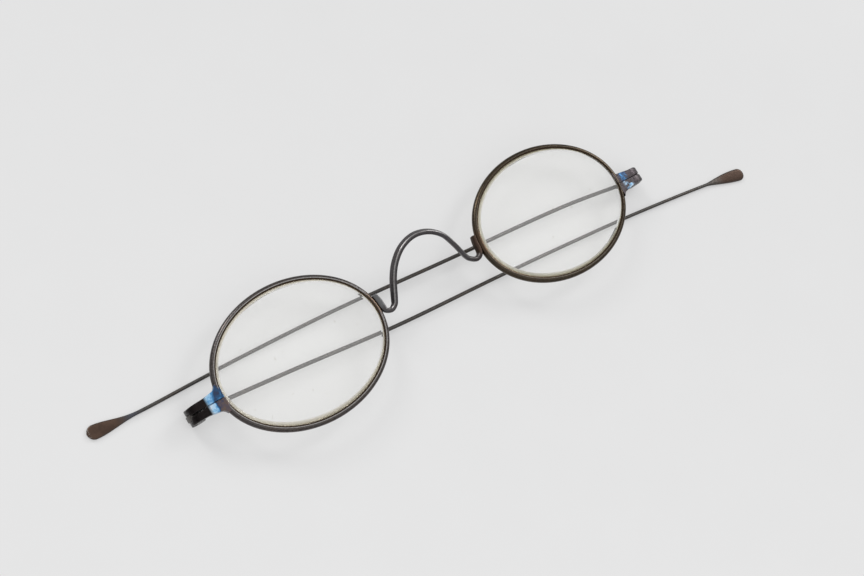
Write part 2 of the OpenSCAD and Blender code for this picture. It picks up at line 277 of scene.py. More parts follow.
def new_material(name):
    """A material made of nodes, its tree, and its Principled BSDF."""
    material = bpy.data.materials.new(name)
    material.use_nodes = True
    return material, material.node_tree, material.node_tree.nodes["Principled BSDF"]


def new_group(name, inputs, outputs):
    """An empty shader node group with number or colour sockets: {name: default}."""
    group = bpy.data.node_groups.new(name, "ShaderNodeTree")
    for way, sockets in (("INPUT", inputs), ("OUTPUT", outputs)):
        for key, value in sockets.items():
            kind = "NodeSocketColor" if isinstance(value, tuple) else "NodeSocketFloat"
            made = group.interface.new_socket(name=key, in_out=way, socket_type=kind)
            made.default_value = value
    return group, add(group, "NodeGroupInput").outputs, add(group, "NodeGroupOutput").inputs


# %% [markdown]
# The skin of old steel. The wire was blackened by age: a brown-grey skin, mottled and lightly
# pitted, that rubs to a paler grey on its edges. A plain grey metal would look new. Large
# clouds of noise pick between a dark and a brown tone, fine grains darken and lighten them,
# and the mark edge brings out the rubbed tone where the grains let it. On the rims and the
# bridge the same mark also lays painted highlight lines. All of it sits in one node group,
# because rims, bridge, end pieces, screws and temples share it.

# %% The aged steel skin
aged, given, result = new_group(
    "aged_steel",
    {"Dark": rgb(60, 54, 50), "Brown": rgb(84, 66, 52), "Rubbed": rgb(150, 146, 140),
     "Brownness": 0.5, "Wear": 0.5, "Edge": 0.0},
    {"Color": (0.1, 0.1, 0.1, 1.0), "Roughness": 0.4, "Height": 0.5},
)
clouds = noise(aged, 260, 4.0, 0.6)
grains = noise(aged, 2600, 5.0, 0.65)
pits = noise(aged, 5200, 2.0, 0.5)
balance = maths(aged, "SUBTRACT", given["Brownness"], 0.95)
skin = blend_colour(aged, scaled(aged, clouds, 1.6, balance, True), given["Dark"], given["Brown"])
grain_tone = ramp(aged, grains, [(0.3, (0.78, 0.78, 0.78, 1)), (0.7, (1.2, 1.2, 1.2, 1))])
skin = blend_colour(aged, 1.0, skin, grain_tone, "MULTIPLY")
rub = maths(aged, "MULTIPLY", given["Edge"], maths(aged, "MULTIPLY", grains, 1.7), True)
rub = maths(aged, "MULTIPLY", rub, given["Wear"], True)
rough = maths(aged, "SUBTRACT", scaled(aged, grains, 0.22, 0.17), maths(aged, "MULTIPLY", rub, 0.1))
aged.links.new(blend_colour(aged, rub, skin, given["Rubbed"]), result["Color"])
aged.links.new(rough, result["Roughness"])
aged.links.new(scaled(aged, grains, 0.6, maths(aged, "MULTIPLY", pits, 0.4)), result["Height"])
print("group aged_steel:", len(aged.nodes), "nodes")

# %% [markdown]
# A steel is a metal that places this skin with its own tones, so that the pieces look alike
# without looking the same. Where one place of a piece differs, such as a foot browned by the
# brazing, its mesh carries a mark there, and another colour is laid over the skin.

# %% Steels made from the skin


def steel(name, dark, brown, rubbed, brownness, wear, dull=0.0, bump=0.12):
    """A metal with the aged skin; dull adds to its roughness, bump is its relief's strength."""
    material, tree, surface = new_material(name)
    surface.inputs["Metallic"].default_value = 1.0
    skin = add(tree, "ShaderNodeGroup", node_tree=aged, in_Dark=dark, in_Brown=brown,
               in_Rubbed=rubbed, in_Brownness=brownness, in_Wear=wear)
    relief = add(tree, "ShaderNodeBump", in_Strength=bump, in_Distance=0.0002)
    rough = maths(tree, "ADD", skin.outputs["Roughness"], dull)
    tree.links.new(mark(tree, "edge"), skin.inputs["Edge"])
    tree.links.new(skin.outputs["Color"], surface.inputs["Base Color"])
    tree.links.new(rough, surface.inputs["Roughness"])
    tree.links.new(skin.outputs["Height"], relief.inputs["Height"])
    tree.links.new(relief.outputs["Normal"], surface.inputs["Normal"])
    print("steel:", name)
    return material


def paint(material, name, colour, share=1.0):
    """Lays a colour over a steel by a mark of its mesh times a share."""
    tree = material.node_tree
    base = tree.nodes["Principled BSDF"].inputs["Base Color"]
    factor = maths(tree, "MULTIPLY", mark(tree, name), share)
    tree.links.new(blend_colour(tree, factor, base.links[0].from_socket, colour), base)


# %% [markdown]
# Heat bluing. Brazing heated the rims and the end pieces, and they kept the temper colours of
# the steel where hands never rubbed them: brown, deep blue and pale blue, in the order of the
# heat. They could be painted by hand, but one noise through a colour ramp follows the heat as
# the real colours do. The mark bluing says where they stayed, and temper how far they went.

# %% The bluing
bluing, given, result = new_group(
    "heat_bluing", {"Temper": 0.5, "Patch": 420.0}, {"Color": (0.05, 0.1, 0.3, 1.0)})
heat_noise = add(bluing, "ShaderNodeTexNoise", in_Detail=4.0, in_Roughness=0.62)
heat_place = add(bluing, "ShaderNodeTexCoord").outputs["Object"]
bluing.links.new(heat_place, heat_noise.inputs["Vector"])
bluing.links.new(given["Patch"], heat_noise.inputs["Scale"])
swing = maths(bluing, "SUBTRACT", heat_noise.outputs["Fac"], 0.5)
heat = scaled(bluing, swing, 1.1, given["Temper"], True)
TEMPER_COLOURS = [
    (0.0, rgb(104, 90, 84)), (0.16, rgb(92, 84, 92)), (0.30, rgb(58, 68, 92)),
    (0.45, rgb(56, 88, 124)), (0.62, rgb(86, 148, 200)), (0.8, rgb(160, 204, 236)),
    (1.0, rgb(226, 234, 242))]
bluing.links.new(ramp(bluing, heat, TEMPER_COLOURS), result["Color"])
print("group heat_bluing:", len(TEMPER_COLOURS), "temper colours")


def blue(material, patch, worn=False):
    """Lays temper colours over a steel, in patch spots per metre.

    On a worn piece they only stay where another noise is high.
    """
    tree = material.node_tree
    share = 1.0
    if worn:
        left = add(tree, "ShaderNodeMapRange", in_From_Min=0.4, in_From_Max=0.54)
        tree.links.new(noise(tree, 520, 3.0, 0.6), left.inputs["Value"])
        share = maths(tree, "MULTIPLY", left.outputs["Result"], 0.8)
    colours = add(tree, "ShaderNodeGroup", node_tree=bluing, in_Patch=patch)
    tree.links.new(mark(tree, "temper"), colours.inputs["Temper"])
    paint(material, "bluing", colours.outputs["Color"], share)


def temper_of(side, upper, out):
    """Heat at a distance outside the rim: 0 brown, 0.4 deep blue, 0.8 pale blue.

    The left end piece has two even tones. On the right both halves turn paler outwards.
    """
    if side > 0:
        return np.where(upper, 0.4, 0.84) + 0.1 * smooth_step(0.0, 1.6, out)
    return np.where(upper, 0.4 + 0.36 * smooth_step(0.7, 1.5, out),
                    0.12 + 0.74 * smooth_step(0.7, 1.3, out))


# %% [markdown]
# The steel of the rims. The right rim is a neutral grey, and the left one browner, nearly
# olive. Inside, the stepped lip is painted dark as shade in the recess beside the lens, and
# beside the bridge the brazing left a brown stain. The ridge of the front carries a rubbed
# line with a painted highlight.

# %% Rim steel
rim_steel = {
    -1: steel("rim_steel_grey", rgb(64, 60, 60), rgb(82, 68, 58), rgb(196, 194, 192), 0.38, 0.8),
    1: steel("rim_steel_olive", rgb(60, 54, 46), rgb(76, 62, 46), rgb(168, 162, 152), 0.5, 0.5),
}
for material in rim_steel.values():
    # Painted shade darkens the stepped lip beside the lens.
    paint(material, "lip", rgb(58, 46, 36))
    paint(material, "braze", rgb(74, 59, 46), 0.75)
    blue(material, 420.0)

# %% [markdown]
# Rims. Each is one wire, round outside and grooved inside, bent round its lens. Its two ends
# meet at the end piece, with a saw cut between them. A torus would have the wrong section, so
# a drawn section is carried along an ellipse, always square to it, from one side of the saw
# cut to the other.

# %% Rim shapes


def rim_profile(rounds=28):
    """Section of the wire as (distance outside the oval, height).

    A half circle, then the top lip with its step, one side of the groove, and the same
    mirrored below.
    """
    r = RIM_D / 2
    turn = math.pi / 2 - 0.04
    a = np.linspace(-turn, turn, rounds)
    outer = np.stack([r * np.cos(a) - r, r * np.sin(a)], -1)
    groove_h = GROOVE * math.tan(BEVEL)
    lip = np.array([[-r - 0.05, r - 0.01], [-r - 0.09, r - 0.14], [-RIM_T, r - 0.2],
                    [-RIM_T, groove_h], [-RIM_T + GROOVE, 0]])
    return np.concatenate([outer, lip, lip[-2::-1] * [1, -1]])


def on_oval(theta, inward=0.0):
    """Point (A cos, B sin) of the rim's ellipse, moved in along its normal, and that normal."""
    c, s = np.cos(theta), np.sin(theta)
    normal = np.stack([c / RIM_A, s / RIM_B], -1)
    normal /= np.linalg.norm(normal, axis=-1, keepdims=True)
    oval = np.stack([RIM_A * c, RIM_B * s], -1)
    return oval - normal * np.asarray(inward)[..., None], normal


def rim_marks(side, points, profile, theta):
    """Marks by the distance from the end piece, from the bridge, and by place in the section."""
    x, y = side * points[..., 0] - EYE_X, points[..., 1]
    from_end = np.hypot(x - RIM_A, y + DROP[side])
    from_bridge = np.hypot(x + RIM_A, 0.8 * (y - 1.6))
    ridge = np.abs(profile[:, 0] + RIM_D / 2 + 0.01) < 0.06
    # The ridge's mark is a rubbed line with a painted highlight, which on the left rim is strong
    # only at its lower left, seen from the front.
    painted_highlight = 0.3 + 0.7 * smooth_step(-0.2, 0.9, np.cos(theta - math.radians(225)))
    if side < 0:
        painted_highlight = np.ones_like(theta)
    return {
        "bluing": (1 - smooth_step(1.9, 2.5, from_end)) * (side < 0),
        "temper": temper_of(side, y > -DROP[side], x - RIM_A),
        # Rubbed ridge with a painted highlight, times its share round the rim.
        "edge": np.where(ridge, 1.0, 0.1)[None, :] * painted_highlight[:, None],
        # Painted shade: the stepped lip is darkened as a recess beside the lens.
        "lip": smooth_step(RIM_D / 2 + 0.05, RIM_D / 2 + 0.1, -profile[:, 0])[None, :],
        "braze": 1 - smooth_step(1.5, 2.8, from_bridge),
    }


def rim_shell(side, count=420):
    """The section carried round the ellipse from one side of the saw cut to the other."""
    cut = math.asin(-DROP[side] / RIM_B)
    half_gap = SPLIT / 2 / RIM_B
    theta = np.linspace(cut + half_gap, cut + 2 * math.pi - half_gap, count)
    if side < 0:
        theta = math.pi - theta
    flat, normal = on_oval(theta)
    profile = rim_profile()
    xy = flat[:, None, :] + normal[:, None, :] * profile[None, :, :1]
    z = np.broadcast_to(profile[None, :, 1], xy.shape[:2])
    points = np.stack([xy[..., 0] + side * EYE_X, xy[..., 1], z + FRONT_Z], -1)
    return shell(points, marks=rim_marks(side, points, profile, theta))


for side in (-1, 1):
    make_piece(f"{SIDE[side]}_eye_rim", [rim_shell(side)], "front", [rim_steel[side]], 50,
               [f"{SIDE[side]}_rim"])

# %% [markdown]
# Glass. The lenses are clear and nearly flat. A shadow ray passes straight through them,
# because otherwise each lens would throw a dark shadow that the real one doesn't. The ground
# bevel is a frosted, creamy band and gets its own material. The mark ground lets the clear
# glass turn into it without a hard line.

# %% Lens glass and ground bevel


def glass(name, colour, roughness, transmission, shade):
    """Glass with a plain transmission; shadow and scattered rays pass, dimmed to shade."""
    material, tree, surface = new_material(name)
    surface.inputs["Metallic"].default_value = 0.0
    surface.inputs["Transmission Weight"].default_value = transmission
    surface.inputs["IOR"].default_value = 1.5
    surface.inputs["Roughness"].default_value = roughness
    if roughness:
        haze = scaled(tree, noise(tree, 120, 3.0, 0.6), roughness, roughness)
        tree.links.new(haze, surface.inputs["Roughness"])
    dust = ramp(tree, noise(tree, 900, 2.0, 0.5), [(0.72, (0, 0, 0, 1)), (0.8, (1, 1, 1, 1))])
    tint = blend_colour(tree, mark(tree, "ground"), rgb(254, 254, 253), colour)
    tint = blend_colour(tree, dust, tint, rgb(214, 208, 196))
    tree.links.new(tint, surface.inputs["Base Color"])
    rays = add(tree, "ShaderNodeLightPath").outputs
    passing = maths(tree, "MAXIMUM", rays["Is Shadow Ray"], rays["Is Diffuse Ray"])
    clear = add(tree, "ShaderNodeBsdfTransparent", in_Color=shade).outputs[0]
    mixed = mix_shaders(tree, passing, surface.outputs[0], clear)
    tree.links.new(mixed, tree.nodes["Material Output"].inputs["Surface"])
    print("glass:", name)
    return material


lens_glass = glass("lens_glass", rgb(255, 255, 254), 0.0, 0.94, (0.99, 0.99, 0.985, 1))
lens_bevel = {
    -1: glass("ground_bevel_pale", rgb(206, 196, 168), 0.4, 0.6, (0.9, 0.9, 0.88, 1)),
    1: glass("ground_bevel_beige", rgb(170, 162, 128), 0.4, 0.6, (0.88, 0.88, 0.84, 1)),
}

# %% [markdown]
# Lenses. Both faces are parts of large spheres, and the edge is ground to a ridge that sits
# in the rim's groove. The bevels were ground by hand, so each is wider on one side. Cutting
# spheres with Booleans would leave uneven faces. Here a grid runs round the oval, and from
# the middle of the front face over the ridge to the middle of the back face.

# %% Lens shapes
LENS_T, LENS_R = 2.4, 330.0  # thickness in the middle, radius of both faces
WIDEST = {-1: math.radians(246), 1: math.radians(195)}  # where each bevel is widest


def face_height(xy):
    """Front face above the lens plane: sqrt(R^2 - x^2 - y^2) - R + T / 2."""
    return np.sqrt(LENS_R**2 - np.sum(xy * xy, -1)) - LENS_R + LENS_T / 2


def lens_shell(side, around=240, rings=24):
    """Lens surface: u runs round the oval, v from the front centre to the back centre."""
    theta = turns(around)
    ridge_in = RIM_T - GROOVE + 0.03
    ridge, _ = on_oval(theta, np.full(around, ridge_in))
    slope = math.tan(BEVEL) / (0.95 + 0.14 * np.cos(theta - WIDEST[side]))
    run = face_height(ridge) / slope
    # The face is lower further out, so the width of the bevel is found in a few rounds.
    for _ in range(3):
        edge, _ = on_oval(theta, ridge_in + run)
        run = face_height(edge) / slope
    share = np.linspace(0, 1, rings) ** 0.7
    face = edge[:, None, :] * share[None, :, None]
    front = np.concatenate([face, face_height(face)[..., None]], -1)
    tip = np.concatenate([ridge, np.zeros((around, 1))], -1)[:, None, :]
    middle = 0.5 * (front[:, -1:, :] + tip)
    mirrored = [1, 1, -1]
    points = np.concatenate([front, middle, tip, middle * mirrored, front[:, ::-1] * mirrored], 1)
    # The frosted material covers the front of the bevel, and the clear glass all the rest.
    columns = points.shape[1]
    part, ground = np.zeros(columns, int), np.zeros(columns)
    part[rings - 1:rings + 1] = 1
    ground[rings - 1:rings + 2] = 0.55, 1.0, 1.0
    return shell(points + [side * EYE_X, 0, FRONT_Z], wrap_u=True, wrap_v=False, part=part,
                 marks={"ground": ground[None, :]})


for side in (-1, 1):
    make_piece(f"{SIDE[side]}_oval_lens", [lens_shell(side)], "front",
               [lens_glass, lens_bevel[side]], 20, [f"{SIDE[side]}_lens"])

# %% [markdown]
# Wires with a changing section. The bridge and the temples are wires that were hammered
# flatter in places. Blender's own curves can only scale one section, so the sweep is made
# here: a smooth curve goes through a few known places, each with the thickness, width and
# lean of its section, and a rounded section is set square to it.

# %% Swept wires
WIRE_SIDES = 36


def through(places, steps):
    """Catmull-Rom curve: cubic pieces that pass through every place, as one array."""
    p = np.concatenate([places[:1], places, places[-1:]])
    t = np.linspace(0, 1, steps, endpoint=False)[None, :, None]
    a, b, c, d = (p[k:len(p) - 3 + k][:, None, :] for k in range(4))
    square, cube = 2 * a - 5 * b + 4 * c - d, 3 * b - a - 3 * c + d
    curve = 0.5 * (2 * b + (c - a) * t + square * t**2 + cube * t**3)
    return np.concatenate([curve.reshape(-1, p.shape[1]), places[-1:]])


def section(power):
    """Superellipse |x|^p + |y|^p = 1: round at power 2, boxy above it. One row per power."""
    c, s = np.cos(turns(WIRE_SIDES))[None, :], np.sin(turns(WIRE_SIDES))[None, :]
    e = 2 / power[:, None]
    return np.sign(c) * np.abs(c) ** e, np.sign(s) * np.abs(s) ** e


def swept(centre, thick, wide, lean, up, power):
    """Rings of a section round a curve: thick lies across up, wide along it, turned by lean."""
    along = np.gradient(centre, axis=0)
    along /= np.linalg.norm(along, axis=1, keepdims=True)
    across = np.cross(along, up)
    across /= np.linalg.norm(across, axis=1, keepdims=True)
    front = np.cross(across, along)
    x, y = section(power)
    u, v = x * thick[:, None] / 2, y * wide[:, None] / 2
    c, s = np.cos(lean)[:, None], np.sin(lean)[:, None]
    sideways = across[:, None, :] * (u * c + v * s)[..., None]
    return centre[:, None, :] + sideways + front[:, None, :] * (v * c - u * s)[..., None]


# %% [markdown]
# Bridge. A flattened wire rises from both rims in an arch that leans forward, so that it can
# sit on a nose. At each end it turns back in a small hook and lies along the rim, to which
# it is brazed. It isn't even: its right shoulder is flatter, its left hook turns higher, and
# its right foot is thicker. So each half is written down from the crest to the foot, and the
# two are joined into one curve.

# %% Bridge line
ARCH_W, ARCH_H, ARCH_FWD = 16.4, 9.0, 4.08  # width, height of the crest, and its reach forward
ARCH_OFF, LEAN = -0.4, 16.0  # sideways shift of the arch, lean of the wire in degrees
WIRE_T, WIRE_W = 1.05, 1.6  # wire of the arch, in front view and in depth
HOOK_Y, HOOK_R = -1.4, 1.4  # lowest point and radius of the right hook
FOOT_T, FOOT_W, BRAZE = 1.1, 1.4, 0.12  # feet, and how far each sinks into its rim


def foot_x(y):
    """Distance from the middle to a foot that lies against the rim's ellipse at height y."""
    return EYE_X - RIM_A * math.sqrt(1 - (y / RIM_B) ** 2) - FOOT_T / 2 + BRAZE


def bridge_places(flat, low, top, lug):
    """Half of the bridge: x, y, z, thickness, width, lean, share of the shift, boxiness.

    An ellipse whose shoulder is pulled in by flat, a leg and a knee that lead to a hook of
    radius HOOK_R above low, and a foot up to top that is thicker by lug.
    """
    base = HOOK_Y + 0.27 * (ARCH_H - HOOK_Y)
    turn = foot_x(0) - HOOK_R
    leg, knee, foot = low + 1.14 * HOOK_R, low + 0.43 * HOOK_R, low + HOOK_R

    def rise(y):
        return ARCH_FWD * (y - HOOK_Y) / (ARCH_H - HOOK_Y)

    rows = []
    for a in np.radians([90, 66, 42, 18]):
        reach = 1 - flat * math.sin(2 * a) ** 2
        x, y = ARCH_W / 2 * math.cos(a) * reach, base + (ARCH_H - base) * math.sin(a) * reach
        rows.append([x, y, rise(y), WIRE_T, WIRE_W, LEAN, 1, 3.0])
    rows += [
        [turn - 1.44 * HOOK_R, leg, rise(leg), WIRE_T, WIRE_W, LEAN, 1, 2.6],
        [turn - 0.95 * HOOK_R, knee, rise(knee), WIRE_T, (WIRE_W + FOOT_W) / 2, LEAN / 2, 0.5, 2.4],
    ]
    for a, thick in zip(np.radians([265, 315]), (WIRE_T, (WIRE_T + FOOT_T) / 2)):
        x, y = turn + HOOK_R * math.cos(a), low + HOOK_R * (1 + math.sin(a))
        rows.append([x, y, 0, thick, FOOT_W, 0, 0, 2.6])
    for y, share in ((foot, 1.0), ((foot + top) / 2, 1.0), (top, 0.85)):
        rows.append([foot_x(y) - lug / 2, y, 0, FOOT_T * share + lug, FOOT_W, 0, 0, 3.6])
    return np.array(rows)


right_half = bridge_places(0.04, HOOK_Y, 2.9, 0.22)
left_half = bridge_places(0.0, HOOK_Y + 0.5, 3.6, 0.0)
right_half[:, 0] = ARCH_OFF * right_half[:, 6] - right_half[:, 0]
left_half[:, 0] = ARCH_OFF * left_half[:, 6] + left_half[:, 0]
bridge_path = through(np.concatenate([right_half[:0:-1], left_half]), 16)
print("bridge:", len(bridge_path), "rings")

# %% [markdown]
# The wire's ends are rounded over their last three rings. Its steel is a cool grey. Painted
# highlights lie along its two front corners, the inner one weaker, and the brazing browned
# the left foot. The thicker right foot has a painted highlight on its flat in front.

# %% Bridge shape and steel
RING_DEGREES = np.degrees(turns(WIRE_SIDES))
bridge_steel = steel("bridge_steel", rgb(76, 74, 76), rgb(84, 76, 76), rgb(190, 188, 186), 0.36,
                     0.75, dull=0.1)
paint(bridge_steel, "foot", rgb(64, 52, 45))
# A painted highlight on the front flat of the thicker right foot.
paint(bridge_steel, "lug", rgb(100, 101, 102))
ring = np.arange(len(bridge_path))
from_end = np.minimum(np.minimum(ring, ring[::-1]) / 3, 1)
end_round = np.sqrt(np.clip(1 - (1 - from_end) ** 2, 0.02, 1))
tilt = math.atan2(ARCH_FWD, ARCH_H - HOOK_Y)
bridge_rings = swept(
    bridge_path[:, :3] + [0, 0, FRONT_Z], bridge_path[:, 3] * end_round,
    bridge_path[:, 4] * end_round, np.radians(bridge_path[:, 5]),
    np.array([0, -math.sin(tilt), math.cos(tilt)]), bridge_path[:, 7])
# Painted highlight lines along the wire's two front corners, the inner one weaker.
corner = 0.35 * bell(RING_DEGREES, 42, 12) + bell(RING_DEGREES, 138, 12) + 0.05
x, y = bridge_path[:, 0], bridge_path[:, 1]
foot = (smooth_step(8.6, 11.8, x) * smooth_step(-1.5, 0.2, y))[:, None]
# Where the painted highlight lies on the right foot's front flat.
lug = (smooth_step(-9.6, -11.0, x) * smooth_step(-0.8, 0.6, y))[:, None]
bridge_marks = {
    "edge": corner[None, :] * (1 - 0.7 * foot), "foot": foot,
    "lug": lug * bell(RING_DEGREES, 88, 32)[None, :]}
make_piece("saddle_bridge", [shell(bridge_rings, marks=bridge_marks)], "front",
           [bridge_steel], 60, ["bridge"])

# %% [markdown]
# The steel of the end pieces. The right one is nearly black, with a clear blue band beside
# the rim. The left one is a worn grey with a violet cast, where only patches of blue stayed.

# %% End piece steel
end_steel = {
    -1: steel("end_piece_steel_right", rgb(28, 26, 26), rgb(44, 38, 38), rgb(150, 146, 142),
              0.5, 0.35, bump=0.2),
    1: steel("end_piece_steel_left", rgb(74, 70, 70), rgb(80, 72, 80), rgb(150, 146, 142),
             0.5, 0.35, dull=0.14, bump=0.2),
}
for side, material in end_steel.items():
    blue(material, 700.0, worn=side > 0)

# %% [markdown]
# End pieces. A flat strip is brazed to the ends of each rim, bends back round a corner and
# ends in a barrel, and a saw cut splits all of it into an upper and a lower half. Pulled
# together by the hinge screw, the halves close the rim on its lens. A block with a Bevel
# modifier would need a weight on every edge. Here a rounded rectangle is carried along the
# line of the strip, and its corners grow rounder towards the hinge.

# %% Strips of the end pieces
END_X = EYE_X + RIM_A + 6.2  # outer face of the strip
END_T, BEND_R = 1.25, 2.8  # thickness of the strip, outer radius of its bend
STRIP_TOP = FRONT_Z + RIM_D / 2 - 0.05  # front face of its flat part
KNUCKLE_R, KNUCKLE_H = 1.45, 3.4  # barrel round the screw
PIN_X, PIN_Z = END_X - KNUCKLE_R, KNUCKLE_R  # line of the screw
TONGUE, SLOT_GAP = 1.2, 0.05  # thickness of the temple's tongue, and its room on either side
CUT = {-1: SPLIT, 1: 0.03}  # the left cut is squeezed nearly shut
FILLET = {-1: 0.65, 1: 0.05}  # how far outside the rim the fillet still reaches
# How far outside the rim the blue goes, by side and by upper half.
BLUE_TO = {(-1, True): 2.5, (-1, False): 2.5, (1, True): 2.0, (1, False): 2.4}
DARK_EDGE = {-1: 0.85, 1: 0.8}  # how much less the edges are rubbed past the blue band


def strip_line(start, count=14):
    """Outer line of the strip in side view, and its inward normal.

    It runs flat, round the bend, then down to the screw.
    """
    bend_x, bend_z = END_X - BEND_R, STRIP_TOP - BEND_R
    a = np.linspace(math.pi / 2, 0, 22)
    round_a = np.stack([np.cos(a), np.sin(a)], -1)
    flat_x = np.linspace(start, bend_x, count, endpoint=False)
    flat = np.stack([flat_x, np.full(count, STRIP_TOP)], -1)
    down = np.stack([np.full(5, END_X), np.linspace(bend_z, PIN_Z, 6)[1:]], -1)
    inward = [np.tile([0, -1], (count, 1)), -round_a, np.tile([-1, 0], (5, 1))]
    return np.concatenate([flat, [bend_x, bend_z] + BEND_R * round_a, down]), np.concatenate(inward)


def half_height(x, round_in):
    """Half of the strip's height in front view: a taper, and a round where it leaves the rim."""
    root, end = EYE_X + RIM_A, PIN_X - KNUCKLE_R - 0.2
    taper = np.interp(x, [root, end], [4.3 / 2, KNUCKLE_H / 2])
    into = np.clip(root + round_in - x, 0, 0.98)
    return taper + 1 - np.sqrt(1 - into**2)


def strip_section(side, line, arc=5):
    """Depth and height of a rounded rectangle from the saw cut to the strip's edge.

    Four quarter circles of arc points, of a radius that grows from 0.14 to 0.36. Round the
    tongue the cut opens to the slot.
    """
    corner = 0.14 + 0.22 * smooth_step(PIN_X - 1.6, END_X - 0.6, line[:, 0])[:, None]
    slot_z = PIN_Z + KNUCKLE_R
    slot = smooth_step(slot_z + 0.25, slot_z - 0.05, line[:, 1]) * (line[:, 0] > PIN_X)
    low = CUT[side] / 2 + slot * (TONGUE / 2 + SLOT_GAP - SPLIT / 2)
    high = half_height(line[:, 0], FILLET[side])
    middle, half = ((low + high) / 2)[:, None], ((high - low) / 2)[:, None]
    quarters = np.arange(4) * math.pi / 2
    phi = np.concatenate([np.linspace(q, q + math.pi / 2, arc) for q in quarters])
    sx, sy = np.repeat([1, -1, -1, 1], arc), np.repeat([1, 1, -1, -1], arc)
    depth = END_T / 2 + sx * (END_T / 2 - corner) + corner * np.cos(phi)
    return depth, middle + sy * (half - corner) + corner * np.sin(phi)


def strip_shell(side, upper):
    """The section carried along the strip's line, with its rubbed corners and its blue band."""
    line, inward = strip_line(EYE_X + RIM_A - 1.05)
    depth, y = strip_section(side, line)
    xz = line[:, None, :] + inward[:, None, :] * depth[..., None]
    points = np.stack([side * xz[..., 0], -DROP[side] + (y if upper else -y), xz[..., 1]], -1)
    out = line[:, 0] - EYE_X - RIM_A
    limit = BLUE_TO[side, upper]
    tone = 1 - smooth_step(limit - 0.25, limit + 0.15, out)
    if side > 0:
        tone = tone * smooth_step(0.0, 0.5, out)
    corners = np.tile([0.0, 0.7, 1.0, 0.7, 0.0], 4)
    rubbed = 1 - DARK_EDGE[side] * smooth_step(2.3, 2.9, out)
    return shell(points, marks={
        "edge": corners[None, :] * rubbed[:, None], "bluing": tone[:, None],
        "temper": temper_of(side, upper, out)[:, None]})


# %% [markdown]
# At its end each strip has an eye, the ring that the screw goes through. The upper eye is
# sunk for the screw's head, and the lower one holds its thread. A ring is a section of radius
# and height, turned round the hinge line.

# %% Eyes, and the four half end pieces
SCREW_R, HEAD_R, HEAD_DEEP = 0.5, 0.85, 0.45  # shank, head, depth that the head is sunk
LOOSE, THREAD = 0.04, 0.015  # radial room where the screw turns, and in its thread


def ear_shell(side, upper, around=72):
    """The eye: (x, z) = hinge + radius * (cos, sin), with the height along y."""
    low, high, c = TONGUE / 2 + SLOT_GAP, KNUCKLE_H / 2, 0.1
    if upper:
        hole, head = SCREW_R + LOOSE, HEAD_R + LOOSE
        bore = [[head, high], [head, high - HEAD_DEEP], [hole, high - HEAD_DEEP], [hole, low]]
    else:
        hole = SCREW_R + THREAD
        bore = [[hole + 0.08, high], [hole, high - 0.08], [hole, low]]
    rows = np.array([
        [KNUCKLE_R - c, low], [KNUCKLE_R - 0.03, low + 0.03], [KNUCKLE_R, low + c],
        [KNUCKLE_R, high - c], [KNUCKLE_R - 0.03, high - 0.03], [KNUCKLE_R - c, high], *bore])
    a = turns(around)[:, None]
    x, z = PIN_X + rows[None, :, 0] * np.cos(a), PIN_Z + rows[None, :, 0] * np.sin(a)
    y = np.broadcast_to(rows[None, :, 1], x.shape)
    points = np.stack([side * x, -DROP[side] + (y if upper else -y), z], -1)
    rubbed = np.array([0.6, 1, 0.6, 0.6, 1, 0.6] + [0.2] * len(bore))
    return shell(points, wrap_u=True, marks={"edge": rubbed[None, :]})


for side in (-1, 1):
    for upper in (True, False):
        label = f"{SIDE[side]}_{'upper' if upper else 'lower'}_end"
        make_piece(label, [strip_shell(side, upper), ear_shell(side, upper)], "front",
                   [end_steel[side]], 40, [f"{label}_piece"])

# %% [markdown]
# Hinge screws. Their solids have the right shape down to the slit in the head, so they stay
# and only get their steel.

# %% Hinge screws
screw_steel = steel("screw_steel", rgb(52, 50, 52), rgb(70, 60, 56), rgb(150, 148, 146), 0.4, 0.3)
for side in (-1, 1):
    screw = nodes[f"{SIDE[side]}_hinge_screw"]
    screw.data.materials.clear()
    screw.data.materials.append(screw_steel)
    print(screw.name, "keeps its solid")

# %% [markdown]
# The steel of the temples. The wire is a plain dark grey. The paddles are brown, the left
# one unevenly, with a bluish neck and a few bright specks on its tip.

# %% Temple steel
temple_steel = steel("temple_steel", rgb(78, 76, 74), rgb(86, 76, 68), rgb(150, 146, 142), 0.3,
                     0.6, dull=0.16)
temple_tree = temple_steel.node_tree
paint(temple_steel, "paddle", rgb(70, 57, 50))
uneven = scaled(temple_tree, noise(temple_tree, 420, 3.0, 0.6), 2.4, -0.55, True)
paint(temple_steel, "warm", rgb(94, 76, 65), uneven)
paint(temple_steel, "cool", rgb(80, 83, 92))
specks = maths(temple_tree, "GREATER_THAN", noise(temple_tree, 4200, 1.0, 0.5), 0.6)
paint(temple_steel, "tip", rgb(190, 188, 184), specks)

# %% [markdown]
# Temples. Each is one piece of wire: a tongue with an eye sits in the slot of the end piece,
# a short cone leads to the wire, and the far end is hammered into a flat paddle. The tongue
# has a heel that meets the end piece when the temple is open, which is its stop. Its outline
# is the farthest of a circle, a heel and an arm in each direction, carried round over both
# flat sides.

# %% Tongues of the temples
HEEL_R, HEEL_H, ARM_H = KNUCKLE_R - 0.05, 1.2, 0.9  # heel: width and height; arm: height


def tongue_reach(a):
    """Distance from the screw to the outline in direction a: max(circle, heel, arm)."""
    tiny = 1e-6
    c, s = np.cos(a), np.sin(a)
    heel = np.minimum(HEEL_R / np.maximum(-c, tiny), HEEL_H / np.maximum(-s, tiny))
    arm = np.minimum((KNUCKLE_R + 0.9) / np.maximum(c, tiny),
                     ARM_H / 2 / np.maximum(np.abs(s), tiny))
    heel = np.where((c < 0) & (s < 0), heel, 0)
    return np.maximum.reduce([np.full_like(a, HEEL_R), heel, np.where(c > 0, arm, 0)])


